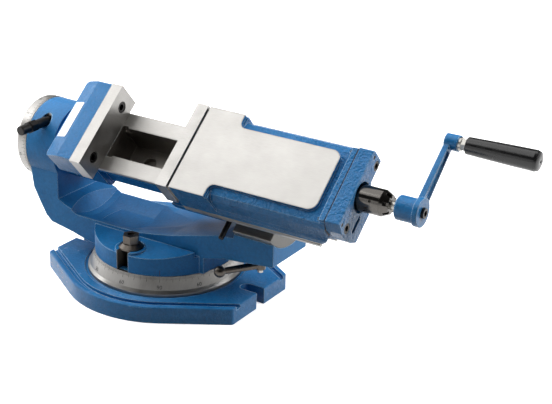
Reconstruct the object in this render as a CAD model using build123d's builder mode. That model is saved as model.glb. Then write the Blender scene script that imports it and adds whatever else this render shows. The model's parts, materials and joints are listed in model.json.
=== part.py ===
from build123d import *
import os
from math import acos, asin, atan2, cos, degrees, hypot, radians, sin, sqrt

# Tilting and swivelling machine vise with a booster spindle.
# Frame: origin on the swivel axis at the underside of the base, +X along the vise towards its crank,
# +Y to the back, +Z up. The vise body is shown rolled about its long axis by roll_angle.

os.makedirs("parts", exist_ok=True)

# Placing of the vise body
roll_angle = 41.0
roll_axis_height = 199.0

# Base
base_half_length = 187.0
base_end_half_width = 79.0
base_radius = 167.0
base_thickness = 28.0
base_slot_width = 22.0
base_slot_reach = 26.0
gutter_inset = 9.0
gutter_width = 9.0
gutter_depth = 6.0
key_width = 18.0
key_depth = 6.0

# Turntable
seat_height = 57.0
clamp_circle_radius = 93.0
flange_height = 29.0
flange_rim = 24.0
boss_rim = 18.8
scale_ring_wall = 5.7
scale_ring_slope = 12.0
groove_neck_width = 17.0
groove_wide_width = 27.0
groove_roof = 46.0
groove_floor = 32.0
pivot_radius = 20.0

# Swivel bracket
arm_half_width = 60.0
block_half_width = 49.0
upright_inner_x = -179.0
head_left_x = -238.0
head_radius = 69.0
trough_radius = 116.0
block_start_x = 167.7
block_end_x = 239.0
block_shoulder = 59.0
saddle_depth = 97.5
upright_foot = 80.5
clamp_slot_width = 22.0
clamp_bolt_radius = 8.0
clamp_washer_radius = 20.0

# Roll bearing
trunnion_radius = 38.0
bush_wall = 4.0
running_clearance = 0.05
collar_radius = 54.0
lug_radius = 77.0
lug_clearance = 0.3
lug_start_x = 170.0
tangent_screw_x = -210.0
tangent_screw_rise = 47.0
tangent_bush_radius = 10.5
tangent_screw_radius = 6.0
roll_ring_width = 19.7
roll_ring_radius = 69.5

# Roll lock screw and its cross bar
lock_across = -52.0
lock_screw_radius = 5.0
lock_head_radius = 8.0
lock_bar_x = 157.0
lock_bar_radius = 4.25

# Jaws and bed, heights above the roll axis
jaw_width = 150.0
jaw_casting_width = 147.0
jaw_top = 97.0
jaw_plate_height = 49.5
jaw_plate_thickness = 20.5
fixed_face_x = -80.0
jaw_opening = 148.0
jaw_back_x = -156.5
shoulder_x = -129.0
shoulder_drop = 9.2
jaw_screw_spacing = 98.0
jaw_screw_height = 72.0
rail_half_width = 54.0
slot_half_width = 27.0
rail_lip = 11.0
web_half_width = 43.0
bed_bottom = -24.0
bed_floor = 12.0
bed_end_x = 209.0
belly_radius = 60.0
belly_start_x = 45.0
belly_end_x = 138.0

# Slide
plate_gap = 4.5
slide_length = 267.0
slide_half_width = 74.0
slide_roof = 9.0
slide_front_wall = 8.0
cavity_half_width = 28.0
slide_clearance = 0.5
keeper_thickness = 6.0
keeper_inner = 46.0
head_length = 64.0
ground_half_width = 51.0
ground_end_margin = 22.0
end_plate_thickness = 24.0

# Spindle unit
spindle_height = 70.0
spindle_radius = 13.0
spindle_clearance = 0.3
booster_radius = 17.5
booster_length = 30.0
nut_x = 176.0
nut_length = 28.0
nut_screw_across = 19.5
nut_screw_radius = 3.0
sleeve_radius = 20.0
sleeve_length = 40.0
nose_length = 12.0
shaft_radius = 6.5
hub_radius = 18.5
hub_length = 31.5
eye_radius = 21.5
eye_thickness = 8.2
crank_length = 119.5
arm_thickness = 9.0
grip_length = 106.0
grip_start_radius = 12.9
grip_end_radius = 15.6
grip_stud_radius = 5.0

# Worked out from the driving dimensions
flange_radius = clamp_circle_radius + flange_rim
boss_radius = clamp_circle_radius + boss_rim
scale_ring_top_radius = boss_radius + scale_ring_wall
scale_ring_foot_radius = scale_ring_top_radius + scale_ring_slope
rail_top = jaw_top - jaw_plate_height
slot_floor = bed_bottom + bed_floor
lip_underside = rail_top - rail_lip
fixed_seat_x = fixed_face_x - jaw_plate_thickness
moving_face_x = fixed_face_x + jaw_opening
moving_seat_x = moving_face_x + jaw_plate_thickness
slide_front_x = moving_seat_x + plate_gap
slide_end_x = slide_front_x + slide_length
plate_end_x = slide_end_x + end_plate_thickness
flange_top = seat_height + flange_height
washer_seat = flange_top + 4.0
bush_radius = trunnion_radius + bush_wall
sleeve_start_x = plate_end_x - 4.0
nose_start_x = sleeve_start_x + sleeve_length
nose_end_x = nose_start_x + nose_length
hub_start_x = nose_end_x + 11.4
eye_start_x = hub_start_x + hub_length - 2.0
eye_end_x = eye_start_x + eye_thickness
arm_start_x = eye_end_x - 12.0
boss_end_x = eye_end_x + 8.0
boss_start_x = boss_end_x - 20.5
grip_start_x = boss_end_x + 12.0
grip_end_x = grip_start_x + grip_length

# Directions of the rolled vise: along it, across it, and up out of its bed
long_axis = Vector(1, 0, 0)
cross_axis = Vector(0, cos(radians(roll_angle)), sin(radians(roll_angle)))
top_axis = Vector(0, -sin(radians(roll_angle)), cos(radians(roll_angle)))


def vise_point(x, across, height):
    """World place of a point given along, across and above the roll axis."""
    return Vector(0, 0, roll_axis_height) + long_axis * x + cross_axis * across + top_axis * height


def section(x, across=0.0, height=0.0):
    """Plane square to the long axis; its sketch axes run across and up the vise."""
    return Plane(vise_point(x, across, height), x_dir=cross_axis, z_dir=long_axis)


def level(height, x=0.0, across=0.0):
    """Plane along the bed at a height; its sketch axes run along and across the vise."""
    return Plane(vise_point(x, across, height), x_dir=long_axis, z_dir=top_axis)


def elevation(across=0.0):
    """Upright plane along the vise; its sketch axes run along and up the vise."""
    return Plane(vise_point(0, across, 0), x_dir=long_axis, z_dir=cross_axis * -1)


def axle(x):
    """Plane square to the spindle axis."""
    return section(x, 0, spindle_height)


def end(piece, label):
    """Names a finished piece and writes it."""
    piece.part.label = label
    export_step(piece.part, "parts/" + label + ".step")


def cap_screw(seat, radius, length):
    """Adds a socket head cap screw: head on the seat plane, shank down the plane's -Z."""
    head_height = 1.8 * radius
    with Locations(seat):
        Cylinder(1.5 * radius, head_height, align=(Align.CENTER, Align.CENTER, Align.MIN))
        Cylinder(radius, length, align=(Align.CENTER, Align.CENTER, Align.MAX))
    with BuildSketch(seat.offset(head_height)) as socket:
        RegularPolygon(0.95 * radius, 6)
    extrude(socket.sketch, amount=-head_height * 0.6, mode=Mode.SUBTRACT)


def screw_hole(seat, radius, length, head_room=0.0):
    """Cuts the hole that a cap screw needs: shank below the seat plane, head above it."""
    with Locations(seat):
        Cylinder(
            radius + 0.1, length + 1.0, align=(Align.CENTER, Align.CENTER, Align.MAX), mode=Mode.SUBTRACT
        )
        if head_room:
            Cylinder(
                1.5 * radius + 0.6,
                head_room,
                align=(Align.CENTER, Align.CENTER, Align.MIN),
                mode=Mode.SUBTRACT,
            )


def tube(plane, length, outer, inner):
    """Adds a tube or ring that starts on a plane and runs along the plane's +Z."""
    with BuildSketch(plane) as wall:
        Circle(outer)
        Circle(inner, mode=Mode.SUBTRACT)
    extrude(wall.sketch, amount=length)


def base_corners(inset, reach):
    """Corners of the base plan without its round middle: two ends and four tangent points."""
    corner_angle = atan2(base_end_half_width, base_half_length)
    swing = acos(base_radius / hypot(base_end_half_width, base_half_length))
    normal = corner_angle + swing
    radius = base_radius - inset
    touch_x, touch_y = radius * cos(normal), radius * sin(normal)
    end_y = (radius - reach * cos(normal)) / sin(normal)
    return [
        (reach, -end_y),
        (reach, end_y),
        (touch_x, touch_y),
        (-touch_x, touch_y),
        (-reach, end_y),
        (-reach, -end_y),
        (-touch_x, -touch_y),
        (touch_x, -touch_y),
    ]


# Swivel base: round plate with two narrower ends, coolant gutter, clamping slots and turntable boss

with BuildPart() as swivel_base:
    with BuildSketch():
        Circle(base_radius)
        with BuildLine():
            Polyline(*base_corners(0, base_half_length), close=True)
        make_face()
    extrude(amount=base_thickness)
    end_corners = swivel_base.edges().filter_by(Axis.Z).filter_by(
        lambda e: abs(abs(e.center().X) - base_half_length) < 0.1
    )
    fillet(end_corners, 6)
    top_rim = swivel_base.faces().sort_by(Axis.Z)[-1].edges()
    fillet(top_rim, 2.5)
    with BuildSketch(Plane.XY.offset(base_thickness)):
        Circle(base_radius - gutter_inset)
        with BuildLine():
            Polyline(*base_corners(gutter_inset, base_half_length + 5), close=True)
        make_face()
        Circle(base_radius - gutter_inset - gutter_width, mode=Mode.SUBTRACT)
        with BuildLine():
            Polyline(*base_corners(gutter_inset + gutter_width, base_half_length + 6), close=True)
        make_face(mode=Mode.SUBTRACT)
    extrude(amount=-gutter_depth, mode=Mode.SUBTRACT)
    with Locations((0, 0, base_thickness)):
        Cylinder(
            scale_ring_foot_radius + 5, 2, align=(Align.CENTER, Align.CENTER, Align.MAX), mode=Mode.SUBTRACT
        )
    with Locations((0, 0, base_thickness - 2)):
        Cylinder(
            boss_radius, seat_height - base_thickness + 2, align=(Align.CENTER, Align.CENTER, Align.MIN)
        )
    with BuildSketch(Plane.XZ):
        with Locations((clamp_circle_radius, groove_floor)):
            Rectangle(groove_wide_width, groove_roof - groove_floor, align=(Align.CENTER, Align.MIN))
        with Locations((clamp_circle_radius, groove_roof)):
            Rectangle(groove_neck_width, seat_height - groove_roof + 1, align=(Align.CENTER, Align.MIN))
    revolve(axis=Axis.Z, mode=Mode.SUBTRACT)
    with Locations((0, 0, seat_height)):
        Cylinder(
            pivot_radius, seat_height - 14, align=(Align.CENTER, Align.CENTER, Align.MAX), mode=Mode.SUBTRACT
        )
    with BuildSketch():
        for side in (-1, 1):
            with Locations((side * (base_half_length - base_slot_reach), 0)):
                Circle(base_slot_width / 2)
            with Locations((side * (base_half_length - base_slot_reach / 2 + 2), 0)):
                Rectangle(base_slot_reach + 4, base_slot_width)
    extrude(amount=base_thickness, mode=Mode.SUBTRACT)
    with BuildSketch():
        with Locations((-115, 0), (115, 0)):
            Rectangle(50, key_width)
    extrude(amount=key_depth, mode=Mode.SUBTRACT)

end(swivel_base, "swivel_base")


# Graduated ring around the turntable boss, tapered outside with a bevelled foot

with BuildPart() as swivel_scale_ring:
    with BuildSketch(Plane.XZ):
        with BuildLine():
            Polyline(
                (boss_radius + 0.1, base_thickness - 2),
                (scale_ring_foot_radius, base_thickness - 2),
                (scale_ring_foot_radius - 0.5, base_thickness + 3),
                (scale_ring_foot_radius - 4, base_thickness + 8),
                (scale_ring_top_radius, seat_height - 0.3),
                (boss_radius + 0.1, seat_height - 0.3),
                close=True,
            )
        make_face()
    revolve(axis=Axis.Z)

end(swivel_scale_ring, "swivel_scale_ring")


# Pivot pin: pressed into the base, the bracket turns on its upper end

with BuildPart() as pivot_pin:
    with Locations((0, 0, 14.2)):
        Cylinder(pivot_radius - 0.02, 58, align=(Align.CENTER, Align.CENTER, Align.MIN))
    chamfer(pivot_pin.edges().sort_by(Axis.Z)[-1], 2)

end(pivot_pin, "pivot_pin")


# Swivel bracket: turntable flange, arm with a trough for the rolling vise, upright, head and saddle block

saddle_underside = roll_axis_height - saddle_depth
upright_foot_height = roll_axis_height - upright_foot
lip_height = roll_axis_height - 100.0
arm_profile = [
    (-flange_radius + 5, seat_height),
    (-150, seat_height + 9),
    (-196, seat_height + 17),
    (-207, seat_height + 27),
    (-220, seat_height + 49),
    (-232, seat_height + 71),
    (head_left_x + 1, roll_axis_height - 39),
    (head_left_x, roll_axis_height),
    (upright_inner_x, roll_axis_height),
    (upright_inner_x, upright_foot_height),
    (-166, lip_height + 12.5),
    (-150, lip_height + 7),
    (-117, lip_height + 4),
    (-58, lip_height + 0.5),
    (-15, lip_height + 1),
    (50, lip_height + 11),
    (138, lip_height + 31),
    (block_start_x - 3, lip_height + 33),
    (block_start_x, roll_axis_height - block_shoulder),
    (block_end_x, roll_axis_height - block_shoulder),
    (block_end_x, saddle_underside),
    (150, saddle_underside - 9.5),
    (flange_radius - 5, saddle_underside - 17.5),
    (flange_radius - 5, seat_height),
]
pivot_lever_x = 192.0
pivot_lever_y = -10.0
lever_hub_radius = 8.5
lever_gap = 15.5
lever_top = saddle_underside - lever_gap
trough_top = roll_axis_height - trough_radius

with BuildPart() as swivel_bracket:
    with BuildSketch(Plane.XZ):
        with BuildLine():
            Polyline(*arm_profile, close=True)
        make_face()
    extrude(amount=arm_half_width, both=True)
    with BuildSketch():
        for side in (-1, 1):
            with BuildLine():
                Polyline(
                    (20, side * (arm_half_width + 0.1)),
                    (150, side * block_half_width),
                    (block_end_x + 1, side * block_half_width),
                    (block_end_x + 1, side * (arm_half_width + 9)),
                    (20, side * (arm_half_width + 9)),
                    close=True,
                )
            make_face()
    extrude(amount=roll_axis_height + 80, mode=Mode.SUBTRACT)
    with BuildSketch(Plane.XZ):
        with BuildLine():
            Polyline(
                (upright_inner_x, roll_axis_height),
                (upright_inner_x, upright_foot_height),
                (upright_inner_x + 9, upright_foot_height),
                (-150, trough_top + 4),
                (-140, trough_top),
                (-45, trough_top),
                (52, lip_height + 11.5),
                (52, roll_axis_height),
                close=True,
            )
        make_face()
    revolve(axis=Axis((0, 0, roll_axis_height), (1, 0, 0)), mode=Mode.SUBTRACT)
    # flange with its top sloping up to the arm on both sides, and a raised boss under each clamp
    with Locations((0, 0, seat_height)):
        Cylinder(flange_radius, flange_height, align=(Align.CENTER, Align.CENTER, Align.MIN))
    for side in (-1, 1):
        with BuildSketch(Plane.YZ):
            with BuildLine():
                Polyline(
                    (side * (arm_half_width - 1), flange_top - 1),
                    (side * (arm_half_width - 1), flange_top + 8),
                    (side * (flange_radius - 3), flange_top - 1),
                    close=True,
                )
            make_face()
        extrude(amount=100, both=True)
    for side in (-1, 1):
        with Locations((0, side * clamp_circle_radius, washer_seat)):
            Cylinder(clamp_washer_radius + 6, 9, align=(Align.CENTER, Align.CENTER, Align.MAX))
    with BuildSketch(Plane.XY.offset(flange_top)):
        Rectangle(260, 2 * (flange_radius + 4))
        Circle(flange_radius, mode=Mode.SUBTRACT)
        Rectangle(260, 2 * arm_half_width, mode=Mode.SUBTRACT)
    extrude(amount=12, both=True, mode=Mode.SUBTRACT)
    # bolt slots, open at the rim, with round seats for the washers
    for side in (-1, 1):
        with BuildSketch(Plane.XY.offset(seat_height)):
            with Locations((0, side * clamp_circle_radius)):
                Circle(clamp_slot_width / 2)
            with Locations((0, side * (clamp_circle_radius + flange_radius + 3) / 2)):
                Rectangle(clamp_slot_width, flange_radius + 3 - clamp_circle_radius)
        extrude(amount=flange_height + 20, mode=Mode.SUBTRACT)
        with Locations((0, side * clamp_circle_radius, washer_seat)):
            Cylinder(
                clamp_washer_radius + 2,
                40,
                align=(Align.CENTER, Align.CENTER, Align.MIN),
                mode=Mode.SUBTRACT,
            )
    # head on the upright, bored for the trunnion bushes
    with Locations(Plane((head_left_x, 0, roll_axis_height), x_dir=(0, 1, 0), z_dir=(1, 0, 0))):
        Cylinder(
            head_radius, upright_inner_x - head_left_x, align=(Align.CENTER, Align.CENTER, Align.MIN)
        )
        Cylinder(
            bush_radius + 0.02,
            upright_inner_x - head_left_x,
            align=(Align.CENTER, Align.CENTER, Align.MIN),
            mode=Mode.SUBTRACT,
        )
    with Locations(Plane((tangent_screw_x, 0, roll_axis_height + tangent_screw_rise), z_dir=(0, 1, 0))):
        Cylinder(tangent_bush_radius + 0.1, 2 * head_radius, mode=Mode.SUBTRACT)
    # saddle for the half-round lug
    with Locations(Plane((block_start_x, 0, roll_axis_height), x_dir=(0, 1, 0), z_dir=(1, 0, 0))):
        Cylinder(
            lug_radius + lug_clearance,
            block_end_x - block_start_x + 1,
            align=(Align.CENTER, Align.CENTER, Align.MIN),
            mode=Mode.SUBTRACT,
        )
    # bore on the pivot pin and boss of the swivel lock lever
    with Locations((0, 0, seat_height - 1)):
        Cylinder(
            pivot_radius + running_clearance,
            17,
            align=(Align.CENTER, Align.CENTER, Align.MIN),
            mode=Mode.SUBTRACT,
        )
    with Locations((pivot_lever_x, pivot_lever_y, lever_top)):
        Cylinder(lever_hub_radius, 14, align=(Align.CENTER, Align.CENTER, Align.MIN))
        Cylinder(3.1, 26, align=(Align.CENTER, Align.CENTER, Align.MIN), mode=Mode.SUBTRACT)

end(swivel_bracket, "swivel_bracket")


# Turntable clamps: T-nut in the ring groove, hex bolt and conical washer on the flange

washer_thickness = 8.0
bolt_foot = groove_floor + 2.5

with BuildPart() as swivel_t_nuts:
    for side in (-1, 1):
        with Locations((0, side * clamp_circle_radius, groove_roof - 0.2)):
            Box(30, groove_wide_width - 4, 10, align=(Align.CENTER, Align.CENTER, Align.MAX))
            Cylinder(
                clamp_bolt_radius + 0.05,
                10,
                align=(Align.CENTER, Align.CENTER, Align.MAX),
                mode=Mode.SUBTRACT,
            )

end(swivel_t_nuts, "swivel_t_nuts")

with BuildPart() as swivel_clamp_washers:
    for side in (-1, 1):
        with Locations((0, side * clamp_circle_radius, washer_seat)):
            Cylinder(clamp_washer_radius, 2.5, align=(Align.CENTER, Align.CENTER, Align.MIN))
        with Locations((0, side * clamp_circle_radius, washer_seat + 2.5)):
            Cone(
                clamp_washer_radius,
                14,
                washer_thickness - 2.5,
                align=(Align.CENTER, Align.CENTER, Align.MIN),
            )
        with Locations((0, side * clamp_circle_radius, washer_seat)):
            Cylinder(
                clamp_bolt_radius + 0.3,
                washer_thickness,
                align=(Align.CENTER, Align.CENTER, Align.MIN),
                mode=Mode.SUBTRACT,
            )

end(swivel_clamp_washers, "swivel_clamp_washers")

with BuildPart() as swivel_clamp_bolts:
    for side in (-1, 1):
        with Locations((0, side * clamp_circle_radius, bolt_foot)):
            Cylinder(
                clamp_bolt_radius,
                washer_seat + washer_thickness - bolt_foot,
                align=(Align.CENTER, Align.CENTER, Align.MIN),
            )
        head = Plane.XY.offset(washer_seat + washer_thickness)
        with BuildSketch(head):
            with Locations((0, side * clamp_circle_radius)):
                RegularPolygon(13.8, 6)
        extrude(amount=14)
        with BuildSketch(head.offset(14)):
            with Locations((0, side * clamp_circle_radius)):
                Circle(6.2)
        extrude(amount=-3, mode=Mode.SUBTRACT)

end(swivel_clamp_bolts, "swivel_clamp_bolts")


# Swivel lock lever under the saddle block

ball_x = 154.0
ball_y = -68.0
lever_mid = lever_top - 7.0
lever_run = hypot(ball_x - pivot_lever_x, ball_y - pivot_lever_y)
lever_heading = Vector(ball_x - pivot_lever_x, ball_y - pivot_lever_y, 0)
lever_plane = Plane((pivot_lever_x, pivot_lever_y, lever_mid), x_dir=(0, 0, 1), z_dir=lever_heading)
ball_radius = 9.4

with BuildPart() as swivel_lever:
    with Locations((pivot_lever_x, pivot_lever_y, lever_top - 0.3)):
        Cylinder(lever_hub_radius, 13, align=(Align.CENTER, Align.CENTER, Align.MAX))
    with Locations(lever_plane):
        Cone(6.2, 5.2, lever_run - ball_radius + 3, align=(Align.CENTER, Align.CENTER, Align.MIN))
    with Locations((pivot_lever_x, pivot_lever_y, lever_top)):
        Cylinder(3.3, 20, align=(Align.CENTER, Align.CENTER, Align.MAX), mode=Mode.SUBTRACT)

end(swivel_lever, "swivel_lever")

with BuildPart() as swivel_lever_ball:
    with Locations((ball_x, ball_y, lever_mid)):
        Sphere(ball_radius)
    with Locations(lever_plane):
        Cone(
            6.25,
            5.25,
            lever_run - ball_radius + 3.1,
            align=(Align.CENTER, Align.CENTER, Align.MIN),
            mode=Mode.SUBTRACT,
        )

end(swivel_lever_ball, "swivel_lever_ball")

with BuildPart() as swivel_lever_screw:
    lever_seat = Plane((pivot_lever_x, pivot_lever_y, lever_top - 13.6), z_dir=(0, 0, -1))
    cap_screw(lever_seat, 3, 34)

end(swivel_lever_screw, "swivel_lever_screw")


# Roll bearing: bushes in the head, tangent clamp on the trunnion between them

bush_length = 15.5


def roll_plane(x):
    """Plane square to the roll axis in the fixed bracket."""
    return Plane((x, 0, roll_axis_height), x_dir=(0, 1, 0), z_dir=(1, 0, 0))


with BuildPart() as trunnion_bushes:
    for start in (head_left_x, upright_inner_x - bush_length):
        tube(roll_plane(start), bush_length, bush_radius, trunnion_radius + running_clearance)

end(trunnion_bushes, "trunnion_bushes")

clamp_height = roll_axis_height + tangent_screw_rise

with BuildPart() as tangent_bushes:
    for side in (-1, 1):
        with Locations(Plane((tangent_screw_x, side * 14, clamp_height), z_dir=(0, side, 0))):
            Cylinder(tangent_bush_radius, 22, align=(Align.CENTER, Align.CENTER, Align.MIN))
            Cylinder(
                tangent_screw_radius + 0.3,
                22,
                align=(Align.CENTER, Align.CENTER, Align.MIN),
                mode=Mode.SUBTRACT,
            )
    with Locations(roll_plane(tangent_screw_x)):
        Cylinder(trunnion_radius + 0.3, 60, mode=Mode.SUBTRACT)

end(tangent_bushes, "tangent_bushes")

with BuildPart() as tangent_screw:
    with Locations(Plane((tangent_screw_x, 36, clamp_height), z_dir=(0, -1, 0))):
        Cylinder(tangent_screw_radius, 90, align=(Align.CENTER, Align.CENTER, Align.MIN))
    with Locations(Plane((tangent_screw_x, -50, clamp_height), z_dir=(0, -1, 0))):
        Cylinder(8, 61, align=(Align.CENTER, Align.CENTER, Align.MIN))
    chamfer(tangent_screw.edges().sort_by(Axis.Y)[0], 1.2)
    with BuildSketch(Plane((tangent_screw_x, -76, clamp_height), z_dir=(0, -1, 0))):
        RegularPolygon(10.4, 6)
    extrude(amount=14)

end(tangent_screw, "tangent_screw")


# Vise body: fixed jaw, bed with rails, trunnion on the left, half-round lug on the right

nut_end_x = nut_x + nut_length
jaw_screw_radius = 6.0
jaw_screw_recess = 12.0
jaw_screw_length = 30.0

with BuildPart() as vise_body:
    with BuildSketch(elevation()):
        with BuildLine():
            Polyline(
                (jaw_back_x, rail_top - 1),
                (fixed_seat_x, rail_top - 1),
                (fixed_seat_x, jaw_top),
                (shoulder_x, jaw_top),
                (jaw_back_x, jaw_top - shoulder_drop),
                close=True,
            )
        make_face()
    extrude(amount=jaw_casting_width / 2, both=True)
    jaw_back_edges = vise_body.faces().sort_by(Axis.X)[0].edges().filter_by(
        lambda e: abs((e.center() - vise_point(0, 0, 0)).dot(cross_axis)) > jaw_casting_width / 2 - 0.1
    )
    fillet(jaw_back_edges, 8)
    with BuildSketch(section(jaw_back_x)):
        with BuildLine():
            Polyline(
                (-rail_half_width, lip_underside),
                (-rail_half_width, rail_top),
                (rail_half_width, rail_top),
                (rail_half_width, lip_underside),
                (web_half_width, lip_underside),
                (web_half_width, bed_bottom),
                (-web_half_width, bed_bottom),
                (-web_half_width, lip_underside),
                close=True,
            )
        make_face()
    extrude(amount=bed_end_x - jaw_back_x)
    bottom_edges = vise_body.edges().filter_by(lambda e: e.length > 300).filter_by(
        lambda e: (e.center() - vise_point(0, 0, 0)).dot(top_axis) < bed_bottom + 1
    )
    fillet(bottom_edges, 14)
    # flare under the fixed jaw
    with BuildSketch(section(jaw_back_x)):
        with Locations((0, (rail_top + bed_bottom) / 2 - 1)):
            RectangleRounded(2 * rail_half_width - 2, rail_top - bed_bottom - 4, 14)
    extrude(amount=fixed_seat_x - jaw_back_x + 8)
    # trunnion with its thrust collar, belly and lug
    with BuildSketch(section(upright_inner_x + 0.4)):
        Circle(collar_radius)
    extrude(amount=jaw_back_x - upright_inner_x - 0.4)
    with BuildSketch(section(jaw_back_x)):
        Circle(trunnion_radius)
    extrude(amount=head_left_x - roll_ring_width + 2 - jaw_back_x)
    with BuildSketch(section(belly_start_x)):
        Circle(belly_radius)
        with Locations((0, belly_radius)):
            Rectangle(2 * belly_radius + 4, 2 * belly_radius, mode=Mode.SUBTRACT)
    extrude(amount=belly_end_x - belly_start_x)
    with BuildSketch(section(lug_start_x)):
        Circle(lug_radius)
        with Locations((0, lug_radius)):
            Rectangle(2 * lug_radius + 4, 2 * lug_radius, mode=Mode.SUBTRACT)
    extrude(amount=block_end_x - lug_start_x)
    with BuildSketch(section(lug_start_x, lock_across)):
        Circle(10)
    extrude(amount=25)
    with Locations(section(lug_start_x, lock_across)):
        Cylinder(
            lock_screw_radius + 0.3, 21, align=(Align.CENTER, Align.CENTER, Align.MIN), mode=Mode.SUBTRACT
        )
    # slot down the bed, wider beside the fixed jaw, with the round seats of the nut block in its floor
    with BuildSketch(level(rail_top)):
        with Locations(((fixed_face_x + bed_end_x) / 2 + 1, 0)):
            Rectangle(bed_end_x - fixed_face_x + 2, 2 * slot_half_width)
    extrude(amount=bed_bottom + bed_floor - rail_top, mode=Mode.SUBTRACT)
    with BuildSketch(level(rail_top)):
        with Locations((fixed_face_x + 6, 0)):
            Rectangle(12, 2 * slot_half_width + 6)
    extrude(amount=-14, mode=Mode.SUBTRACT)
    with Locations(level(bed_bottom + bed_floor, -40), level(bed_bottom + bed_floor, 75)):
        Cylinder(12, 9, align=(Align.CENTER, Align.CENTER, Align.MAX), mode=Mode.SUBTRACT)
    for side in (-1, 1):
        with Locations(level(slot_floor, nut_x + nut_length / 2, side * nut_screw_across)):
            Cylinder(
                nut_screw_radius + 0.1, 13, align=(Align.CENTER, Align.CENTER, Align.MAX), mode=Mode.SUBTRACT
            )
    for side in (-1, 1):
        screw_hole(
            section(fixed_seat_x, side * jaw_screw_spacing / 2, jaw_screw_height),
            jaw_screw_radius,
            jaw_screw_length - 12,
        )
    for step in range(3):
        angle = radians(120 * step + 90)
        place = vise_point(head_left_x - roll_ring_width, 24 * cos(angle), 24 * sin(angle))
        screw_hole(Plane(place, x_dir=cross_axis, z_dir=long_axis * -1), 4, 18)

end(vise_body, "vise_body")


def jaw_plate(seat_x, face_x):
    """Adds a ground jaw plate between its seat and its face, with counterbored screw holes."""
    outward = 1 if face_x > seat_x else -1
    with BuildSketch(section(seat_x, 0, jaw_top - jaw_plate_height / 2)) as blank:
        Rectangle(jaw_width, jaw_plate_height)
    extrude(blank.sketch, amount=face_x - seat_x)
    for side in (-1, 1):
        place = vise_point(
            face_x - outward * jaw_screw_recess, side * jaw_screw_spacing / 2, jaw_screw_height
        )
        seat = Plane(place, x_dir=cross_axis, z_dir=long_axis * outward)
        screw_hole(seat, jaw_screw_radius, jaw_plate_thickness, jaw_screw_recess + 1)


def jaw_screws(face_x, outward):
    """Adds the two screws of a jaw plate."""
    for side in (-1, 1):
        place = vise_point(
            face_x - outward * jaw_screw_recess, side * jaw_screw_spacing / 2, jaw_screw_height
        )
        seat = Plane(place, x_dir=cross_axis, z_dir=long_axis * outward)
        cap_screw(seat, jaw_screw_radius, jaw_screw_length - 4)


with BuildPart() as fixed_jaw_plate:
    jaw_plate(fixed_seat_x, fixed_face_x)

end(fixed_jaw_plate, "fixed_jaw_plate")

with BuildPart() as fixed_jaw_screws:
    jaw_screws(fixed_face_x, 1)

end(fixed_jaw_screws, "fixed_jaw_screws")


# Label plate without marks on the sloping shoulder behind the fixed jaw

shoulder_tilt = asin(shoulder_drop / hypot(shoulder_drop, shoulder_x - jaw_back_x))
shoulder_run = Vector(0, 0, 0) + long_axis * cos(shoulder_tilt) + top_axis * sin(shoulder_tilt)
label_plane = Plane(
    vise_point((jaw_back_x + shoulder_x) / 2, -3, jaw_top - shoulder_drop / 2),
    x_dir=shoulder_run,
    z_dir=shoulder_run.cross(cross_axis),
)

with BuildPart() as label_plate:
    with BuildSketch(label_plane):
        RectangleRounded(21.5, 67, 2)
    extrude(amount=0.8)

end(label_plate, "label_plate")


# Graduated roll ring and its retaining disc on the end of the trunnion

ring_left_x = head_left_x - roll_ring_width

with BuildPart() as roll_scale_ring:
    tube(section(ring_left_x), roll_ring_width - 0.3, roll_ring_radius, trunnion_radius + 0.02)
    chamfer(
        roll_scale_ring.faces().sort_by(Axis.X)[0].outer_wire().edges(), 3, 1.2
    )

end(roll_scale_ring, "roll_scale_ring")

with BuildPart() as roll_end_disc:
    with BuildSketch(section(ring_left_x)):
        Circle(50)
    extrude(amount=-7)
    chamfer(roll_end_disc.faces().sort_by(Axis.X)[0].edges(), 1.5)
    for step in range(3):
        angle = radians(120 * step + 90)
        seat = Plane(
            vise_point(ring_left_x - 3, 24 * cos(angle), 24 * sin(angle)),
            x_dir=cross_axis,
            z_dir=long_axis * -1,
        )
        screw_hole(seat, 4, 6, 5)

end(roll_end_disc, "roll_end_disc")

with BuildPart() as roll_end_screws:
    for step in range(3):
        angle = radians(120 * step + 90)
        place = vise_point(ring_left_x - 3, 24 * cos(angle), 24 * sin(angle))
        cap_screw(Plane(place, x_dir=cross_axis, z_dir=long_axis * -1), 4, 20)

end(roll_end_screws, "roll_end_screws")


# Roll lock: screw in the boss of the lug, turned with a cross bar

with BuildPart() as roll_lock_screw:
    with Locations(section(lug_start_x - 0.5, lock_across)):
        Cylinder(lock_screw_radius, 20, align=(Align.CENTER, Align.CENTER, Align.MIN))
        Cylinder(lock_head_radius, 21, align=(Align.CENTER, Align.CENTER, Align.MAX))
    with Locations(elevation(lock_across)):
        with Locations((lock_bar_x, 0, 0)):
            Cylinder(lock_bar_radius + 0.05, 30, mode=Mode.SUBTRACT)

end(roll_lock_screw, "roll_lock_screw")

with BuildPart() as roll_lock_bar:
    with Locations(elevation(-46)):
        with Locations((lock_bar_x, 0, 0)):
            Cylinder(lock_bar_radius, 49, align=(Align.CENTER, Align.CENTER, Align.MIN))
    fillet(roll_lock_bar.edges(), 2)

end(roll_lock_bar, "roll_lock_bar")


# Slide: moving jaw casting with a ground top, gripping the rails from above and below

slide_bottom = lip_underside - 0.3
head_end_x = slide_front_x + head_length
cavity_roof = jaw_top - slide_roof
relief_depth = 6.0
rim_x = slide_end_x - 10.0
rim_half_width = 63.0
end_screw_across = 53.5
end_screw_height = 71.0
end_screw_radius = 5.0
dowel_across = 57.5
dowel_height = 88.0
dowel_radius = 3.0
keeper_screw_across = 64.5
keeper_screw_radius = 3.0
keeper_screws_x = [slide_front_x + 25 + 48 * step for step in range(5)]

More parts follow.
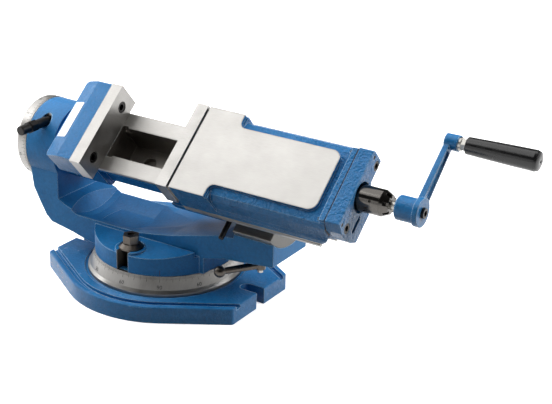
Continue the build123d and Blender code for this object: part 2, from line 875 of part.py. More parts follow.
with BuildPart() as slide:
    with BuildSketch(level(jaw_top)) as plan:
        with Locations(((slide_front_x + slide_end_x) / 2, 0)):
            Rectangle(slide_length, 2 * slide_half_width)
        fillet(plan.vertices().sort_by(Axis.X)[-2:], 10)
    extrude(amount=slide_bottom - jaw_top)
    with BuildSketch(section(moving_seat_x, 0, jaw_top - 26)):
        RectangleRounded(jaw_width - 4, 43, 3)
    extrude(amount=plate_gap + 1)
    # running faces on the rails and the cavity for spindle and booster
    with BuildSketch(section(slide_front_x - 1, 0, rail_top)):
        Rectangle(2 * rail_half_width + slide_clearance, 40, align=(Align.CENTER, Align.MAX))
    extrude(amount=slide_length + 2, mode=Mode.SUBTRACT)
    with BuildSketch(section(slide_front_x + slide_front_wall, 0, rail_top - 1)):
        Rectangle(2 * cavity_half_width, cavity_roof - rail_top + 1, align=(Align.CENTER, Align.MIN))
    extrude(amount=slide_length, mode=Mode.SUBTRACT)
    # ground patch left standing above a groove
    with BuildSketch(level(jaw_top)) as relief:
        with Locations(((head_end_x + rim_x) / 2, 0)):
            Rectangle(rim_x - head_end_x, 2 * slide_half_width + 10)
        with Locations(((head_end_x - 30 + slide_end_x - ground_end_margin) / 2, 0)):
            RectangleRounded(
                slide_end_x - ground_end_margin - head_end_x + 30,
                2 * ground_half_width,
                15,
                mode=Mode.SUBTRACT,
            )
        inner = relief.vertices().filter_by(
            lambda v: abs(v.X - head_end_x) < 0.1 and abs(abs(v.Y) - ground_half_width) < 0.1
        )
        fillet(inner, 11)
        for side in (-1, 1):
            with Locations((rim_x + 4, side * (rim_half_width + 10))):
                Rectangle(18, 20)
    extrude(amount=-relief_depth, mode=Mode.SUBTRACT)
    for side in (-1, 1):
        for start, stop, inner in (
            (head_end_x + 4, rim_x, ground_half_width + 3),
            (rim_x, slide_end_x, rim_half_width - 1),
        ):
            with BuildSketch(section(start)):
                with BuildLine():
                    Polyline(
                        (side * inner, jaw_top - relief_depth),
                        (side * (slide_half_width - 10), jaw_top - relief_depth - 2),
                        (side * (slide_half_width - 4.5), 81),
                        (side * (slide_half_width - 3), 74),
                        (side * (slide_half_width - 3), 56),
                        (side * (slide_half_width + 0.5), 50),
                        (side * (slide_half_width + 9), 50),
                        (side * (slide_half_width + 9), jaw_top),
                        (side * inner, jaw_top),
                        close=True,
                    )
                make_face()
            extrude(amount=stop - start, mode=Mode.SUBTRACT)
        with BuildSketch(elevation(side * 62)):
            with BuildLine():
                ThreePointArc((332, slide_bottom), (350, 47), (slide_end_x, 76))
                Polyline(
                    (slide_end_x, 76),
                    (slide_end_x + 5, 76),
                    (slide_end_x + 5, slide_bottom - 5),
                    (332, slide_bottom - 5),
                    (332, slide_bottom),
                )
            make_face()
        extrude(amount=-side * 15, mode=Mode.SUBTRACT)
        place = vise_point(moving_seat_x, side * jaw_screw_spacing / 2, jaw_screw_height)
        seat = Plane(place, x_dir=cross_axis, z_dir=long_axis * -1)
        screw_hole(seat, jaw_screw_radius, jaw_screw_length - 12)
        screw_hole(
            section(slide_end_x, side * end_screw_across, end_screw_height), end_screw_radius, 26
        )
        with Locations(section(slide_end_x, side * dowel_across, dowel_height)):
            Cylinder(
                dowel_radius + 0.02, 15, align=(Align.CENTER, Align.CENTER, Align.MAX), mode=Mode.SUBTRACT
            )
        for x in keeper_screws_x:
            place = vise_point(x, side * keeper_screw_across, slide_bottom)
            screw_hole(Plane(place, x_dir=long_axis, z_dir=top_axis * -1), keeper_screw_radius, 14)

end(slide, "slide")

with BuildPart() as moving_jaw_plate:
    jaw_plate(moving_seat_x, moving_face_x)

end(moving_jaw_plate, "moving_jaw_plate")

with BuildPart() as moving_jaw_screws:
    jaw_screws(moving_face_x, -1)

end(moving_jaw_screws, "moving_jaw_screws")

keeper_start_x = slide_front_x + 2.0
keeper_end_x = slide_end_x - 22.0

with BuildPart() as keeper_plates:
    with BuildSketch(level(slide_bottom)):
        for side in (-1, 1):
            with Locations(
                (
                    (keeper_start_x + keeper_end_x) / 2,
                    side * (keeper_inner + slide_half_width + 1) / 2,
                )
            ):
                Rectangle(keeper_end_x - keeper_start_x, slide_half_width + 1 - keeper_inner)
    extrude(amount=-keeper_thickness)
    for side in (-1, 1):
        for x in keeper_screws_x:
            place = vise_point(x, side * keeper_screw_across, slide_bottom - keeper_thickness)
            seat = Plane(place, x_dir=long_axis, z_dir=top_axis * -1)
            screw_hole(seat, keeper_screw_radius, keeper_thickness)

end(keeper_plates, "keeper_plates")

with BuildPart() as keeper_screws:
    for side in (-1, 1):
        for x in keeper_screws_x:
            place = vise_point(x, side * keeper_screw_across, slide_bottom - keeper_thickness)
            cap_screw(Plane(place, x_dir=long_axis, z_dir=top_axis * -1), keeper_screw_radius, 18)

end(keeper_screws, "keeper_screws")


# End plate of the slide: carries the spindle in its bore

recess_radius = 23.5
recess_depth = 12.0

with BuildPart() as end_plate:
    with BuildSketch(section(slide_end_x)) as outline:
        with BuildLine():
            Polyline(
                (-62, jaw_top),
                (64, jaw_top),
                (66, 92),
                (67, 64),
                (30, 63),
                (-3, 25.5),
                (-52, 25.5),
                (-61, 40),
                (-65, 53),
                (-68, 80),
                close=True,
            )
        make_face()
        fillet(outline.vertices(), 2.5)
    extrude(amount=end_plate_thickness)
    fillet(end_plate.faces().sort_by(Axis.X)[-1].edges(), 1.2)
    with Locations(axle(plate_end_x)):
        Cylinder(
            recess_radius, recess_depth, align=(Align.CENTER, Align.CENTER, Align.MAX), mode=Mode.SUBTRACT
        )
        Cylinder(
            spindle_radius + spindle_clearance,
            end_plate_thickness,
            align=(Align.CENTER, Align.CENTER, Align.MAX),
            mode=Mode.SUBTRACT,
        )
    with BuildSketch(section(plate_end_x)):
        with Locations((-35, 50)):
            RectangleRounded(28, 7, 1.5)
    extrude(amount=-end_plate_thickness, mode=Mode.SUBTRACT)
    for side in (-1, 1):
        screw_hole(
            section(plate_end_x - 9.2, side * end_screw_across, end_screw_height),
            end_screw_radius,
            end_plate_thickness,
            12,
        )
        with Locations(section(plate_end_x, side * dowel_across, dowel_height)):
            Cylinder(
                dowel_radius + 0.02,
                end_plate_thickness,
                align=(Align.CENTER, Align.CENTER, Align.MAX),
                mode=Mode.SUBTRACT,
            )

end(end_plate, "end_plate")

with BuildPart() as end_plate_screws:
    for side in (-1, 1):
        cap_screw(
            section(plate_end_x - 9.2, side * end_screw_across, end_screw_height), end_screw_radius, 38
        )

end(end_plate_screws, "end_plate_screws")

with BuildPart() as end_plate_dowels:
    for side in (-1, 1):
        with Locations(section(slide_end_x - 14, side * dowel_across, dowel_height)):
            Cylinder(
                dowel_radius, end_plate_thickness + 13.4, align=(Align.CENTER, Align.CENTER, Align.MIN)
            )

end(end_plate_dowels, "end_plate_dowels")


# Nut block in the bed slot, held down by two long screws

nut_top = cavity_roof - 2.0
nut_half_width = 25.0
nut_seat = nut_top - 5.6

with BuildPart() as spindle_nut:
    with BuildSketch(section(nut_x)):
        with Locations((0, slot_floor)):
            Rectangle(2 * slot_half_width - 0.4, rail_top - 1 - slot_floor, align=(Align.CENTER, Align.MIN))
        with Locations((0, rail_top - 2)):
            Rectangle(2 * nut_half_width, nut_top - rail_top + 2, align=(Align.CENTER, Align.MIN))
        with Locations((0, spindle_height)):
            Circle(spindle_radius + spindle_clearance, mode=Mode.SUBTRACT)
    extrude(amount=nut_length)
    for side in (-1, 1):
        screw_hole(
            level(nut_seat, nut_x + nut_length / 2, side * nut_screw_across), nut_screw_radius, 96, 8
        )

end(spindle_nut, "spindle_nut")

with BuildPart() as spindle_nut_screws:
    for side in (-1, 1):
        cap_screw(
            level(nut_seat, nut_x + nut_length / 2, side * nut_screw_across),
            nut_screw_radius,
            nut_seat - slot_floor + 12,
        )

end(spindle_nut_screws, "spindle_nut_screws")


# Booster: cylinder on the spindle with cap, main piston on the slide, springs and primary piston

booster_start_x = slide_front_x + slide_front_wall + 3.0
booster_end_x = booster_start_x + booster_length - 2.0
booster_bore = 13.5
rod_bore = 6.4
piston_stem = 8.0

with BuildPart() as booster_cylinder:
    tube(axle(booster_start_x), booster_length - 6, booster_radius, booster_bore)
    tube(axle(booster_end_x - 4), 4, booster_radius, rod_bore)

end(booster_cylinder, "booster_cylinder")

with BuildPart() as booster_cap:
    tube(axle(booster_start_x), 3.5, booster_bore - 0.02, piston_stem + 0.4)

end(booster_cap, "booster_cap")

with BuildPart() as main_piston:
    with Locations(axle(slide_front_x + slide_front_wall)):
        Cylinder(piston_stem, 12, align=(Align.CENTER, Align.CENTER, Align.MIN))
    with Locations(axle(booster_start_x + 8)):
        Cylinder(booster_bore - 0.3, 8, align=(Align.CENTER, Align.CENTER, Align.MIN))
    with BuildSketch(axle(booster_start_x + 10.5)):
        Circle(booster_bore + 1)
        Circle(booster_bore - 2.5, mode=Mode.SUBTRACT)
    extrude(amount=3, mode=Mode.SUBTRACT)

end(main_piston, "main_piston")

with BuildPart() as piston_seal:
    tube(axle(booster_start_x + 10.6), 2.8, booster_bore - 0.3, booster_bore - 2.45)

end(piston_seal, "piston_seal")

with BuildPart() as disc_springs:
    for start in (3.7, 5.9):
        tube(axle(booster_start_x + start), 1.9, booster_bore - 1.5, piston_stem + 0.5)

end(disc_springs, "disc_springs")

rod_end_x = sleeve_start_x + 22.0

with BuildPart() as primary_piston:
    with Locations(axle(booster_end_x - 6)):
        Cylinder(
            rod_bore - 0.4, rod_end_x - booster_end_x + 6, align=(Align.CENTER, Align.CENTER, Align.MIN)
        )

end(primary_piston, "primary_piston")


# Spindle with its thrust rings, clutch sleeve and drive shaft

screw_end_x = sleeve_start_x + 20.0

with BuildPart() as spindle_screw:
    tube(axle(booster_end_x), screw_end_x - booster_end_x, spindle_radius, rod_bore)

end(spindle_screw, "spindle_screw")

with BuildPart() as thrust_ring:
    tube(axle(slide_end_x - 7.6), 7.3, booster_radius, spindle_radius + 0.02)

end(thrust_ring, "thrust_ring")

with BuildPart() as spindle_lock_ring:
    tube(axle(plate_end_x - recess_depth + 0.3), recess_depth - 4.3, 19, spindle_radius + 0.02)

end(spindle_lock_ring, "spindle_lock_ring")

with BuildPart() as clutch_sleeve:
    tube(axle(sleeve_start_x), 20, sleeve_radius, spindle_radius + 0.02)
    tube(axle(screw_end_x), sleeve_length - 20, sleeve_radius, 16)
    oil_hole = vise_point(sleeve_start_x + 26, 0, spindle_height)
    with Locations(Plane(oil_hole, z_dir=top_axis - cross_axis * 0.6)):
        Cylinder(2.2, 30, align=(Align.CENTER, Align.CENTER, Align.MIN), mode=Mode.SUBTRACT)

end(clutch_sleeve, "clutch_sleeve")

with BuildPart() as sleeve_nose:
    with Locations(axle(nose_start_x)):
        Cone(sleeve_radius, 14, nose_length, align=(Align.CENTER, Align.CENTER, Align.MIN))
        Cylinder(
            shaft_radius + 0.3, nose_length, align=(Align.CENTER, Align.CENTER, Align.MIN), mode=Mode.SUBTRACT
        )
    with BuildSketch(axle(nose_end_x)):
        with PolarLocations(14.5, 6):
            Rectangle(7, 5)
    extrude(amount=-7, mode=Mode.SUBTRACT)

end(sleeve_nose, "sleeve_nose")

shaft_end_x = hub_start_x + 22.0
crank_screw_radius = 5.0
crank_screw_seat = eye_end_x - 4.8

with BuildPart() as drive_shaft:
    with Locations(axle(rod_end_x)):
        Cylinder(shaft_radius, shaft_end_x - rod_end_x, align=(Align.CENTER, Align.CENTER, Align.MIN))
    with Locations(axle(rod_end_x + 2)):
        Cylinder(15.5, 6, align=(Align.CENTER, Align.CENTER, Align.MIN))
    with Locations(axle(shaft_end_x)):
        Cylinder(
            crank_screw_radius + 0.1, 12, align=(Align.CENTER, Align.CENTER, Align.MAX), mode=Mode.SUBTRACT
        )

end(drive_shaft, "drive_shaft")

with BuildPart() as clutch_balls:
    with Locations(axle(screw_end_x + 2)):
        with PolarLocations(11, 6):
            Sphere(2)

end(clutch_balls, "clutch_balls")

with BuildPart() as clutch_spring:
    for step in range(5):
        tube(axle(rod_end_x + 8.1 + 1.95 * step), 1.8, 14, 9)

end(clutch_spring, "clutch_spring")


# Crank: hub, eye and arm in one casting, screwed to the shaft

with BuildPart() as crank:
    with Locations(axle(hub_start_x)):
        Cylinder(hub_radius, hub_length, align=(Align.CENTER, Align.CENTER, Align.MIN))
    with Locations(axle(eye_start_x)):
        Cylinder(eye_radius, eye_thickness, align=(Align.CENTER, Align.CENTER, Align.MIN))
    with BuildSketch(axle(arm_start_x)):
        with BuildLine():
            Polyline((0, -10.5), (0, 10.5), (crank_length, 7), (crank_length, -7), close=True)
        make_face()
    extrude(amount=arm_thickness)
    with Locations(section(boss_start_x, crank_length, spindle_height)):
        Cylinder(12, boss_end_x - boss_start_x, align=(Align.CENTER, Align.CENTER, Align.MIN))
    for face, inward in ((arm_start_x + arm_thickness, -1), (arm_start_x, 1)):
        with BuildSketch(axle(face)):
            with BuildLine():
                Polyline((24, -7.3), (24, 7.3), (103, 5), (103, -5), close=True)
            make_face()
        extrude(amount=inward * 2.5, mode=Mode.SUBTRACT)
    with BuildSketch(axle(eye_end_x)):
        Circle(eye_radius)
    extrude(amount=10, mode=Mode.SUBTRACT)
    with Locations(axle(hub_start_x)):
        Cylinder(
            shaft_radius + 0.02,
            shaft_end_x - hub_start_x + 0.3,
            align=(Align.CENTER, Align.CENTER, Align.MIN),
            mode=Mode.SUBTRACT,
        )
    screw_hole(axle(crank_screw_seat), crank_screw_radius, 25, 10)
    chamfer(crank.faces().sort_by(Axis.X)[0].outer_wire().edges(), 1.5)
    with Locations(section(boss_end_x, crank_length, spindle_height)):
        Cylinder(
            grip_stud_radius + 1.02, 17, align=(Align.CENTER, Align.CENTER, Align.MAX), mode=Mode.SUBTRACT
        )

end(crank, "crank")

with BuildPart() as crank_screw:
    cap_screw(axle(crank_screw_seat), crank_screw_radius, 22)

end(crank_screw, "crank_screw")


# Turning grip on its stud

grip_bore_end_x = grip_end_x - 17.0


def grip_section(x):
    """Plane square to the grip axis."""
    return section(x, crank_length, spindle_height)


grip_profile_plane = Plane(
    vise_point(0, crank_length, spindle_height), x_dir=long_axis, z_dir=cross_axis * -1
)

with BuildPart() as grip_stud:
    with Locations(grip_section(boss_end_x - 16)):
        Cylinder(grip_stud_radius + 1, 16.5, align=(Align.CENTER, Align.CENTER, Align.MIN))
    with Locations(grip_section(boss_end_x)):
        Cylinder(10, 4, align=(Align.CENTER, Align.CENTER, Align.MIN))
        Cylinder(
            grip_stud_radius, grip_bore_end_x - boss_end_x, align=(Align.CENTER, Align.CENTER, Align.MIN)
        )
    with BuildSketch(grip_section(boss_end_x + 4)):
        RegularPolygon(9.5, 6)
    extrude(amount=7)
    with Locations(grip_section(grip_bore_end_x)):
        Cylinder(3.1, 16, align=(Align.CENTER, Align.CENTER, Align.MAX), mode=Mode.SUBTRACT)

end(grip_stud, "grip_stud")

with BuildPart() as grip:
    with BuildSketch(grip_profile_plane):
        with BuildLine():
            Polyline((grip_start_x, grip_stud_radius + 0.3), (grip_start_x, grip_start_radius - 1.5))
            ThreePointArc(
                (grip_start_x, grip_start_radius - 1.5),
                (grip_start_x + 0.5, grip_start_radius - 0.4),
                (grip_start_x + 2, grip_start_radius),
            )
            Spline(
                (grip_start_x + 2, grip_start_radius),
                (grip_start_x + 50, grip_start_radius + 1.5),
                (grip_end_x - 2, grip_end_radius),
            )
            Polyline(
                (grip_end_x - 2, grip_end_radius),
                (grip_end_x, grip_end_radius - 1),
                (grip_end_x, 9),
                (grip_bore_end_x, 9),
                (grip_bore_end_x, grip_stud_radius + 0.3),
                (grip_start_x, grip_stud_radius + 0.3),
            )
        make_face()
    revolve(axis=Axis(vise_point(0, crank_length, spindle_height), long_axis))

end(grip, "grip")

with BuildPart() as grip_screw:
    with Locations(grip_section(grip_bore_end_x + 0.3)):
        Cylinder(8, 1.8, align=(Align.CENTER, Align.CENTER, Align.MIN))
        Cylinder(3, 14, align=(Align.CENTER, Align.CENTER, Align.MAX))
    with Locations(grip_section(grip_bore_end_x + 2.1)):
        Cylinder(5, 4.5, align=(Align.CENTER, Align.CENTER, Align.MIN))
    with BuildSketch(grip_section(grip_bore_end_x + 6.6)):
        RegularPolygon(2.9, 6)
    extrude(amount=-3, mode=Mode.SUBTRACT)

end(grip_screw, "grip_screw")

with BuildPart() as grip_end_cap:
    with BuildSketch(grip_profile_plane):
        with BuildLine():
            Polyline(
                (grip_end_x + 4.5, 2.2),
                (grip_end_x - 7, 2.2),
                (grip_end_x - 7, 8.95),
                (grip_end_x, 8.95),
                (grip_end_x, grip_end_radius - 1),
                (grip_end_x + 2.5, grip_end_radius - 1.6),
            )
            ThreePointArc(
                (grip_end_x + 2.5, grip_end_radius - 1.6), (grip_end_x + 4, 10.5), (grip_end_x + 4.5, 2.2)
            )
        make_face()
    revolve(axis=Axis(vise_point(0, crank_length, spindle_height), long_axis))

end(grip_end_cap, "grip_end_cap")
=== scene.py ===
import json
import math

import bmesh
import bpy
from mathutils import Matrix, Vector


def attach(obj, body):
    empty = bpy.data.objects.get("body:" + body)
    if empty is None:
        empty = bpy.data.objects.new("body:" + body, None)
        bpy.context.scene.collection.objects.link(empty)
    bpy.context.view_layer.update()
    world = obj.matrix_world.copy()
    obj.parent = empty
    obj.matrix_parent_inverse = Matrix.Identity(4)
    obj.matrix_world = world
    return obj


bl_info = {
    "name": "Tilting Machine Vise",
    "version": (1, 0, 0),
    "blender": (4, 5, 0),
    "location": "View3D > Sidebar > Vise",
    "description": "Finishes, scales and photo stage of a tilting and swivelling machine vise",
    "category": "Object",
}

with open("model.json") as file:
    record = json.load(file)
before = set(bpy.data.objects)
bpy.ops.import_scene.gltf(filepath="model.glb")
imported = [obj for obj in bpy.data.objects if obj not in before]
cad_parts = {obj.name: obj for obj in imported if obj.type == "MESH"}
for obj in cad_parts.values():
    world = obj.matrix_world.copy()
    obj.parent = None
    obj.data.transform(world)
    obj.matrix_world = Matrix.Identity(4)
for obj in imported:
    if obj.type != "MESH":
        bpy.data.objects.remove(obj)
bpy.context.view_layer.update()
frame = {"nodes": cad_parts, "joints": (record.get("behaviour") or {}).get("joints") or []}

MM = 0.001
ROLL_ANGLE = math.radians(41.0)
ROLL_HEIGHT = next(joint["pos_m"][2] for joint in frame["joints"] if joint["name"] == "roll")

# Nearly all values of a noise pattern lie between the first two of these, and the sum of two patterns
# between the others.
NOISE_LOW = 0.3
NOISE_HIGH = 0.7
CLOUD_LOW = 0.5
CLOUD_HIGH = 1.5
BEVEL_SAMPLES = 4
ENAMEL_IOR = 1.3
PLASTIC_IOR = 1.5
# The slow swell of the enamel is this many times the size of its pebbles.
SWELL_SHARE = 9
# Cosine between the true and the softened surface where the painted highlight on an edge starts and is full.
HIGHLIGHT_START = 0.965
HIGHLIGHT_FULL = 0.85
# Value of the pebbles where the deep tone of the pores ends, and how far the swells lighten the enamel.
PORE_END = 0.35
SWELL_LIGHT = 0.3
# Roughness that thin enamel adds, and the roughness of ground iron between and on its lines.
THIN_DULLNESS = 0.1
GROUND_GLOSS = 0.36
GROUND_DULL = 0.48
SCRATCH_LOW = 0.2
SCRATCH_HIGH = 0.8
# Sizes and depths of patterns in mm, and the strength of their relief. Grinding lines are finer in
# fact, and are drawn 0.6 mm wide so that they show.
GRINDING_MARKS = (100 / 9, 0.625, 0.625)
STAIN_SIZE = 25.0
INK_CLOUD = 10 / 7
CUT_DEPTH = 0.05
CUT_STRENGTH = 0.12
FLOW_DEPTH = 0.1
FLOW_STRENGTH = 0.08
# Shares of a finish's roughness from which and up to which its stains or waves change it.
STAIN_GLOSS = 0.85
STAIN_DULL = 1.2
FLOW_DULL = 1.5

# Places of the scales in mm: the tapered swivel ring and the flange's rim stand round the swivel axis,
# the roll ring's values are X and the distance from the roll axis.
RING_TOP = (117.5, 0, 56.7)
RING_FOOT = (125.5, 0, 36.0)
INDEX_MIDDLE = (117.0, 0, 62.5)
ROLL_RING_EDGE = -238.9
ROLL_NUMBERS_X = -251.2
ROLL_RING_RADIUS = 69.5
# Sizes of the marks in mm. A line is centred on its surface, so half its thickness stands out.
LINE_THICKNESS = 0.16
ROLL_LINE_THICKNESS = 0.12
NUMBER_RISE = 0.12
NUMBER_CURVE_STEPS = 3
LINE_GAP = 0.6
INDEX_SIZE = (0.9, 9, 0.2)
ROLL_LINE_LENGTHS = (8.0, 6.0, 4.0)
ROLL_LINE_WIDE = 0.5
ROLL_LINE_NARROW = 0.3
ROLL_NUMBER_HEIGHT = 6.0
# Share of a long line's width that a one degree line has, and share of a number's height at which its
# middle stands above the ring's foot.
NARROW_SHARE = 0.7
NUMBER_SHARE = 0.55
# Degrees from one number to the next.
NUMBER_STEP = 30

WHITE = (1, 1, 1, 1)
FLOOR_REACH = 6.0
# The card's glow in front of the object and far out, and the distances between which it changes.
GLOW_NEAR = 0.62
GLOW_FAR = 1.0
GLOW_START = 0.9
GLOW_END = 2.6
# Sines of 8 and 11.5 degrees above the horizon, between which the white sweep fades out.
SWEEP_FULL = 0.14
SWEEP_END = 0.2
SENSOR_WIDTH = 36.0
CAMERA_PLACE = (1.1969, -1.6035, 0.9641)
CAMERA_AZIMUTH = math.radians(31.58)
CAMERA_ELEVATION = math.radians(22.42)
CAMERA_TILT = math.radians(1.7)


def linear(hex_colour):
    """Linear colour with full opacity from an sRGB hex value."""
    parts = [int(hex_colour[i : i + 2], 16) / 255 for i in (1, 3, 5)]
    return [c / 12.92 if c <= 0.04045 else ((c + 0.055) / 1.055) ** 2.4 for c in parts] + [1.0]


def feed(tree, node, inputs):
    """Sets inputs of a node to values, or links them from sockets. inputs is a dict, or a tuple in order."""
    pairs = inputs.items() if isinstance(inputs, dict) else enumerate(inputs)
    for key, value in pairs:
        if isinstance(value, bpy.types.NodeSocket):
            tree.links.new(value, node.inputs[key])
        else:
            node.inputs[key].default_value = value


def add_node(tree, kind, inputs=(), **settings):
    """Adds a shader node. Settings are its options; inputs holds values and sockets to link from."""
    made = tree.nodes.new("ShaderNode" + kind)
    for name, value in settings.items():
        setattr(made, name, value)
    feed(tree, made, inputs)
    return made


def blank_material(name):
    """New material with its node tree and shader."""
    material = bpy.data.materials.new(name)
    material.use_nodes = True
    return material, material.node_tree, material.node_tree.nodes["Principled BSDF"]


def vise_place(tree):
    """Position along, across and above the roll axis of the tilted vise, in metres."""
    place = add_node(tree, "TexCoord").outputs["Object"]
    down = (0, -ROLL_HEIGHT * math.sin(ROLL_ANGLE), -ROLL_HEIGHT * math.cos(ROLL_ANGLE))
    inputs = {"Vector": place, "Location": down, "Rotation": (-ROLL_ANGLE, 0, 0)}
    return add_node(tree, "Mapping", inputs).outputs["Vector"]


def region(tree, place, limits):
    """Mask that is 1 inside a box. limits has a lowest and highest value in mm, or None, for X, Y and Z;
    Y counts from the middle to both sides."""
    axes = add_node(tree, "SeparateXYZ", {"Vector": place})
    mask = None
    for axis, limit in enumerate(limits):
        if limit is None:
            continue
        low, high = limit
        value = axes.outputs[axis]
        if axis == 1:
            value = add_node(tree, "Math", (value,), operation="ABSOLUTE").outputs[0]
        inputs = (value, (low + high) / 2 * MM, (high - low) / 2 * MM)
        inside = add_node(tree, "Math", inputs, operation="COMPARE").outputs[0]
        if mask is None:
            mask = inside
        else:
            mask = add_node(tree, "Math", (mask, inside), operation="MULTIPLY").outputs[0]
    return mask


def regions(tree, place, boxes):
    """Mask that is 1 inside any of the boxes, or the number 0 where there are none."""
    masks = [region(tree, place, limits) for limits in boxes]
    if not masks:
        return 0.0
    joined = masks[0]
    for mask in masks[1:]:
        joined = add_node(tree, "Math", (joined, mask), operation="MAXIMUM").outputs[0]
    return joined


def cast_enamel(name, relief, gloss=0.15, tilted=True, ground=(), milled=(), rough=(), seams=()):
    """Blue enamel over a sand casting, with boxes for the ground, milled and rough iron left bare.

    relief is the strength of the cast skin, gloss is the roughness where the enamel lies thickest, and
    seams are the dark lines where two castings meet. Boxes lie in the tilted vise's frame if tilted."""
    # Sprayed enamel: its gloss follows the pebbled cast skin, and a painted highlight lightens it along the
    # cast edges.
    # The pebbles are drawn coarser and higher than sand leaves them, so that they show at this distance.
    finish = bpy.context.scene.vise_finish
    material, tree, shader = blank_material(name)
    place = vise_place(tree) if tilted else add_node(tree, "TexCoord").outputs["Object"]
    pebbles = {"Vector": place, "Scale": 1 / finish.cast_grain, "Detail": 3.0, "Roughness": 0.55}
    grain = add_node(tree, "TexNoise", pebbles).outputs[0]
    swells = {"Vector": place, "Scale": 1 / (SWELL_SHARE * finish.cast_grain), "Detail": 2.0}
    swell = add_node(tree, "TexNoise", swells).outputs[0]
    soft = add_node(tree, "Bevel", {"Radius": finish.edge_radius}, samples=BEVEL_SAMPLES).outputs[0]
    flat = add_node(tree, "NewGeometry").outputs["Normal"]
    # Painted highlight: where the softened surface turns away from the true one at the cast edges, the
    # colour is mixed towards a pale highlight blue.
    turned = add_node(tree, "VectorMath", (soft, flat), operation="DOT_PRODUCT").outputs["Value"]
    edge = add_node(tree, "MapRange", (turned, HIGHLIGHT_START, HIGHLIGHT_FULL, 0.0, 1.0)).outputs[0]
    full = add_node(tree, "MapRange", (grain, PORE_END, NOISE_HIGH, 0.0, 1.0)).outputs[0]
    thin = add_node(tree, "MapRange", (swell, NOISE_LOW, NOISE_HIGH, 0.0, SWELL_LIGHT)).outputs[0]
    coats = [(full, finish.enamel), (thin, finish.enamel_light), (edge, finish.enamel_edge)]
    if seams:
        coats.append((regions(tree, place, seams), finish.seam))
    colour = finish.enamel_deep
    for mask, coat in coats:
        colour = add_node(tree, "Mix", {0: mask, 6: colour, 7: coat}, data_type="RGBA").outputs[2]
    dullness = (swell, NOISE_LOW, NOISE_HIGH, gloss, gloss + THIN_DULLNESS)
    roughness = add_node(tree, "MapRange", dullness).outputs[0]
    skin = add_node(tree, "Math", (grain, swell), operation="ADD").outputs[0]
    strength, metallic = relief, 0.0
    if ground or milled or rough:
        # Bare iron: flat and bright, with fine lines along the vise and a slow cloud over them.
        bare = regions(tree, place, [*ground, *milled, *rough])
        waves = [1 / (length * MM) for length in GRINDING_MARKS]
        drawn = add_node(tree, "Mapping", {"Vector": place, "Scale": waves}).outputs["Vector"]
        scratch = add_node(tree, "TexNoise", {"Vector": drawn, "Scale": 1.0, "Detail": 2.0}).outputs[0]
        cloud = add_node(tree, "Math", (scratch, swell), operation="ADD").outputs[0]
        bright = add_node(tree, "MapRange", (cloud, CLOUD_LOW, CLOUD_HIGH, 0.0, 1.0)).outputs[0]
        tones = (
            (bright, finish.ground),
            (regions(tree, place, milled), finish.milled),
            (regions(tree, place, rough), finish.rough),
        )
        iron = finish.ground_shade
        for mask, tone in tones:
            iron = add_node(tree, "Mix", {0: mask, 6: iron, 7: tone}, data_type="RGBA").outputs[2]
        colour = add_node(tree, "Mix", {0: bare, 6: colour, 7: iron}, data_type="RGBA").outputs[2]
        dullness = (scratch, SCRATCH_LOW, SCRATCH_HIGH, GROUND_GLOSS, GROUND_DULL)
        worked = add_node(tree, "MapRange", dullness).outputs[0]
        roughness = add_node(tree, "Mix", {0: bare, 2: roughness, 3: worked}).outputs[0]
        strength = add_node(tree, "MapRange", (bare, 0.0, 1.0, relief, 0.0)).outputs[0]
        metallic = bare
    raised = {"Strength": strength, "Distance": finish.cast_depth, "Height": skin, "Normal": soft}
    inputs = {
        "Base Color": colour,
        "Metallic": metallic,
        "Roughness": roughness,
        "Normal": add_node(tree, "Bump", raised).outputs[0],
        "IOR": ENAMEL_IOR,
    }
    feed(tree, shader, inputs)
    return material


def worked_metal(name, metal, marks, roughness, bevel=0.4):
    """Bare or blackened metal with the marks of its last cut.

    metal names its two colours in the finish settings, marks is the size of the pattern in mm along
    X, Y and Z, and bevel is the radius of its edges in mm."""
    finish = bpy.context.scene.vise_finish
    material, tree, shader = blank_material(name)
    place = vise_place(tree)
    # Lines left by a lathe or grinder are finer in fact, and are drawn 0.5 mm wide or more to show.
    waves = [1 / (length * MM) for length in marks]
    cut = add_node(tree, "Mapping", {"Vector": place, "Scale": waves}).outputs["Vector"]
    lines = add_node(tree, "TexNoise", {"Vector": cut, "Scale": 1.0, "Detail": 2.0}).outputs[0]
    stains = {"Vector": place, "Scale": 1 / (STAIN_SIZE * MM), "Detail": 2.0}
    stain = add_node(tree, "TexNoise", stains).outputs[0]
    dullness = (stain, NOISE_LOW, NOISE_HIGH, roughness * STAIN_GLOSS, roughness * STAIN_DULL)
    soft = add_node(tree, "Bevel", {"Radius": bevel * MM}, samples=BEVEL_SAMPLES).outputs[0]
    raised = {"Strength": CUT_STRENGTH, "Distance": CUT_DEPTH * MM, "Height": lines, "Normal": soft}
    tones = {0: lines, 6: getattr(finish, metal + "_shade"), 7: getattr(finish, metal)}
    inputs = {
        "Base Color": add_node(tree, "Mix", tones, data_type="RGBA").outputs[2],
        "Metallic": 1.0,
        "Roughness": add_node(tree, "MapRange", dullness).outputs[0],
        "Normal": add_node(tree, "Bump", raised).outputs[0],
    }
    feed(tree, shader, inputs)
    return material


def moulded(name, colour, roughness, grain):
    """Moulded plastic or rubber: glossy or dull skin with faint flow waves, grain mm long."""
    material, tree, shader = blank_material(name)
    waves = {"Vector": vise_place(tree), "Scale": 1 / (grain * MM), "Detail": 2.0}
    flow = add_node(tree, "TexNoise", waves).outputs[0]
    dullness = (flow, NOISE_LOW, NOISE_HIGH, roughness, roughness * FLOW_DULL)
    raised = {"Strength": FLOW_STRENGTH, "Distance": FLOW_DEPTH * MM, "Height": flow}
    inputs = {
        "Base Color": colour,
        "Roughness": add_node(tree, "MapRange", dullness).outputs[0],
        "Normal": add_node(tree, "Bump", raised).outputs[0],
        "IOR": PLASTIC_IOR,
    }
    feed(tree, shader, inputs)
    return material


